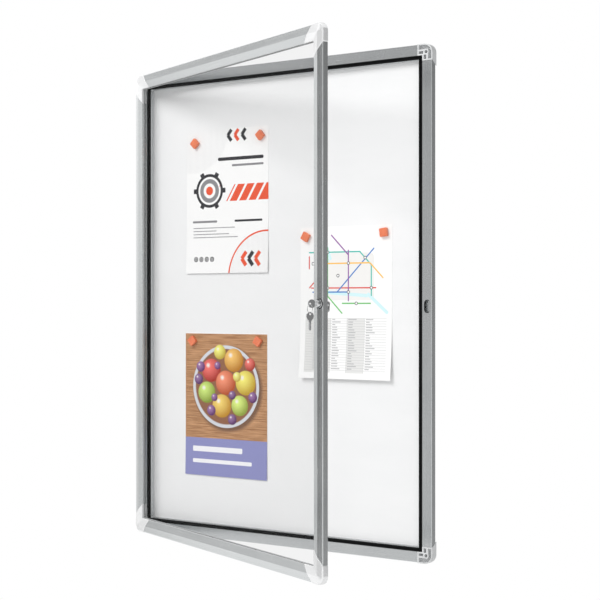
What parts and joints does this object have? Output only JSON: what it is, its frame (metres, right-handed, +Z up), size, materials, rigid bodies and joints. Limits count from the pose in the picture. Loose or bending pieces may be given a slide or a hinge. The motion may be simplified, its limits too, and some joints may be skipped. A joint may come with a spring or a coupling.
{
  "type": "lockable wall notice board",
  "caption": "Shallow aluminium wall case with a magnetic white panel behind a glazed, side-hinged door that closes with a cam lock and key.",
  "frame": {"origin": "middle of the flat back of the case's top rail, on the wall", "axes": "+X to the right seen from the front, +Y into the wall, +Z up; the board faces -Y"},
  "size_m": [0.7145, 0.3207, 0.969],
  "materials": {
    "case_extrusion": "satin anodised extrusion",
    "door_extrusion": "satin anodised extrusion",
    "case_corner": "light grey moulded plastic",
    "door_corner": "pale grey moulded plastic, semi-gloss",
    "enamel_panel": "white enamelled steel sheet",
    "backing_fibreboard": "brown hardboard",
    "gasket_rubber": "black rubber profile",
    "safety_glass": "clear float glass",
    "lock_chrome": "bright nickel plate",
    "plain_steel": "zinc plated steel",
    "printed_paper": null,
    "magnet_cap": "orange moulded cap, unlettered"
  },
  "bodies": {
    "case": {"case_rail_top": "case_extrusion", "case_rail_bottom": "case_extrusion", "case_stile_left": "case_extrusion", "case_stile_right": "case_extrusion", "case_corner_top_left": "case_corner", "case_corner_top_right": "case_corner", "case_corner_bottom_left": "case_corner", "case_corner_bottom_right": "case_corner", "whiteboard_panel": "enamel_panel", "backing_board": "backing_fibreboard", "case_gasket": "gasket_rubber", "hinge_pin_top": "plain_steel", "hinge_pin_bottom": "plain_steel", "notice_sheet_top": "printed_paper", "notice_sheet_bottom": "printed_paper", "notice_sheet_right": "printed_paper", "magnet_1": "magnet_cap", "magnet_2": "magnet_cap", "magnet_3": "magnet_cap", "magnet_4": "magnet_cap", "magnet_5": "magnet_cap", "magnet_6": "magnet_cap"},
    "door": {"door_rail_top": "door_extrusion", "door_rail_bottom": "door_extrusion", "door_stile_hinge": "door_extrusion", "door_stile_lock": "door_extrusion", "door_corner_top_left": "door_corner", "door_corner_top_right": "door_corner", "door_corner_bottom_left": "door_corner", "door_corner_bottom_right": "door_corner", "door_glazing": "safety_glass", "glazing_seal": "gasket_rubber", "lock_barrel": "lock_chrome", "lock_nut_plate": "plain_steel"},
    "lock_core": {"lock_plug": "lock_chrome", "lock_cam": "plain_steel", "cam_screw": "plain_steel"},
    "key": {"key": "lock_chrome"},
    "ring": {"key_ring": "plain_steel"},
    "spare_key": {"spare_key": "lock_chrome"}
  },
  "joints": [
    {"name": "door_swing", "type": "hinge", "parent": "case", "child": "door", "pos_m": [-0.3515, -0.0187, -0.469], "axis": [0, 0, -1], "range_deg": [-22.48, 87.52]},
    {"name": "lock_turn", "type": "hinge", "parent": "door", "child": "lock_core", "pos_m": [0.29135, -0.28547, -0.469], "axis": [0.3824, 0.924, 0], "range_deg": [0, 90]},
    {"name": "key_withdraw", "type": "slide", "parent": "lock_core", "child": "key", "axis": [-0.3824, -0.924, 0], "range_m": [0, 0.018]},
    {"name": "key_ring_roll", "type": "hinge", "parent": "key", "child": "ring", "pos_m": [0.27976, -0.31347, -0.47795], "axis": [0.3824, 0.924, 0], "range_deg": [-90, 0]},
    {"name": "spare_key_swing", "type": "hinge", "parent": "ring", "child": "spare_key", "pos_m": [0.27976, -0.31347, -0.48585], "axis": [0.924, -0.3824, 0], "range_deg": [-20, 20]}
  ],
  "couplings": [
    {"joint": "key_ring_roll", "follows": "lock_turn", "ratio": -1}
  ]
}
